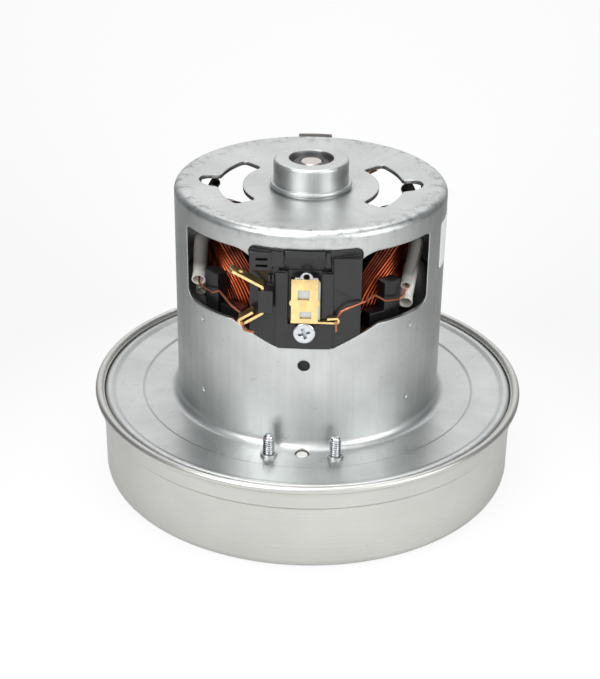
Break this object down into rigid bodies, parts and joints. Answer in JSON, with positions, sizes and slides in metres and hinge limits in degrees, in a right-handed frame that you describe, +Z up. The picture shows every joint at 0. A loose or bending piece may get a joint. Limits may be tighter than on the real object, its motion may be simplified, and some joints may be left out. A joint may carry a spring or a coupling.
{
  "type": "vacuum motor unit",
  "caption": "Vacuum cleaner motor: a drum shaped steel can with side windows and brass brush gear on a wide flanged fan cover with a curved blade impeller.",
  "frame": {"origin": "centre of the fan cover's underside", "axes": "+Z up the motor axis to the bearing boss, -Y towards the front brush gear"},
  "size_m": [0.135, 0.135, 0.1032],
  "materials": {
    "galvanised_steel": "satin",
    "cover_steel": "satin",
    "bright_steel": "polished",
    "core_steel": "dull",
    "zinc_steel": "bright",
    "tab_steel": "dull",
    "impeller_aluminium": "satin",
    "black_plastic": "moulded",
    "pale_plastic": "moulded",
    "hub_plastic": "moulded",
    "brass": "satin",
    "copper_wire": "enamelled",
    "commutator_copper": "turned",
    "carbon": "dull",
    "sleeving": "woven"
  },
  "bodies": {
    "frame": {"fan_cover": "cover_steel", "motor_housing": "galvanised_steel", "earth_tab": "tab_steel", "upper_bearing_outer_ring": "bright_steel", "lower_bearing_outer_ring": "bright_steel", "upper_bearing_sleeve": "black_plastic", "bearing_bracket": "galvanised_steel", "diffuser": "pale_plastic", "diffuser_screws": "zinc_steel", "stator_core": "core_steel", "field_coil_right": "copper_wire", "field_coil_left": "copper_wire", "field_winding_right": "copper_wire", "field_winding_left": "copper_wire", "upper_end_insulator": "black_plastic", "lower_end_insulator": "black_plastic", "front_brush_holder": "black_plastic", "front_brush_tube": "brass", "front_brush_tube_clip": "galvanised_steel", "front_brush_spring": "bright_steel", "front_power_terminal": "brass", "front_holder_screw": "zinc_steel", "front_left_sleeve": "sleeving", "front_left_short_sleeve": "sleeving", "front_right_sleeve": "sleeving", "front_right_short_sleeve": "sleeving", "front_left_lead": "copper_wire", "front_right_lead": "copper_wire", "rear_brush_holder": "black_plastic", "rear_brush_tube": "brass", "rear_brush_tube_clip": "galvanised_steel", "rear_brush_spring": "bright_steel", "rear_power_terminal": "brass", "rear_holder_screw": "zinc_steel", "rear_left_sleeve": "sleeving", "rear_left_short_sleeve": "sleeving", "rear_right_sleeve": "sleeving", "rear_right_short_sleeve": "sleeving", "rear_left_lead": "copper_wire", "rear_right_lead": "copper_wire"},
    "rotor": {"shaft": "bright_steel", "armature_core": "core_steel", "upper_armature_winding": "copper_wire", "lower_armature_winding": "copper_wire", "commutator_hub": "hub_plastic", "commutator_bars": "commutator_copper", "upper_bearing_inner_ring": "bright_steel", "lower_bearing_inner_ring": "bright_steel", "impeller_back_plate": "impeller_aluminium", "impeller_front_plate": "impeller_aluminium", "impeller_blades": "impeller_aluminium", "impeller_spacer": "zinc_steel", "impeller_washer": "zinc_steel", "impeller_nut": "zinc_steel"},
    "front_brush": {"front_carbon_brush": "carbon"},
    "rear_brush": {"rear_carbon_brush": "carbon"}
  },
  "joints": [
    {"name": "rotor_spin", "type": "hinge", "parent": "frame", "child": "rotor", "pos_m": [0, 0, 0.05], "axis": [0, 0, 1], "continuous": true},
    {"name": "front_brush_slide", "type": "slide", "parent": "frame", "child": "front_brush", "axis": [0, -1, 0], "range_m": [0, 0.005], "stiffness_N_per_m": 200, "springref_m": -0.015, "deforming": ["front_brush_spring"]},
    {"name": "rear_brush_slide", "type": "slide", "parent": "frame", "child": "rear_brush", "axis": [0, 1, 0], "range_m": [0, 0.005], "stiffness_N_per_m": 200, "springref_m": -0.015, "deforming": ["rear_brush_spring"]}
  ]
}
